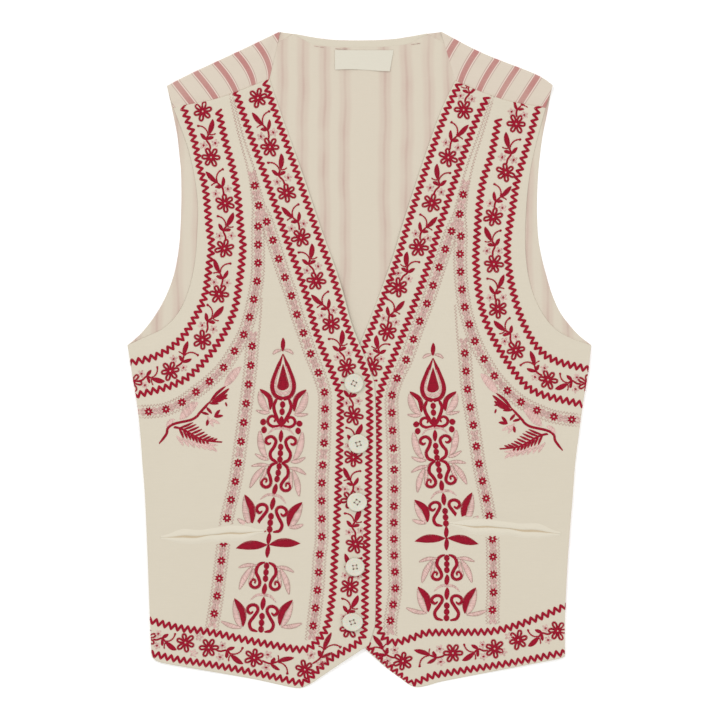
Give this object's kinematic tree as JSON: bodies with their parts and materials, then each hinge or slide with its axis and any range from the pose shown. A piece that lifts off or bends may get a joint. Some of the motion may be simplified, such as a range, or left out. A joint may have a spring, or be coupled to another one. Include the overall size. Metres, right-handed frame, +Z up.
{
  "type": "embroidered waistcoat",
  "caption": "Sleeveless cotton waistcoat in folk style, buttoned and laid flat, with a deep V neck, pointed front hem, striped shoulders and embroidered fronts.",
  "frame": {"origin": "middle of the bounding box, at the surface that the waistcoat lies on", "axes": "+Y towards the neck, +X towards the wearer's left, +Z up from the surface, out of the front of the waistcoat"},
  "size_m": [0.4302, 0.6089, 0.0084],
  "materials": {
    "cream_cotton": "matte",
    "striped_cotton": "matte",
    "red_thread": "satin",
    "pink_thread": "satin",
    "label_satin": "satin",
    "pearl_button": "gloss"
  },
  "bodies": {
    "root": {"back_panel": "striped_cotton", "front_right": "cream_cotton", "front_left": "cream_cotton", "shoulder_right": "striped_cotton", "shoulder_left": "striped_cotton", "neck_facing": "cream_cotton", "neck_label": "label_satin", "pocket_right_upper": "cream_cotton", "pocket_right_lower": "cream_cotton", "pocket_left_upper": "cream_cotton", "pocket_left_lower": "cream_cotton", "button_1": "pearl_button", "button_2": "pearl_button", "button_3": "pearl_button", "button_4": "pearl_button", "button_5": "pearl_button"}
  },
  "joints": []
}
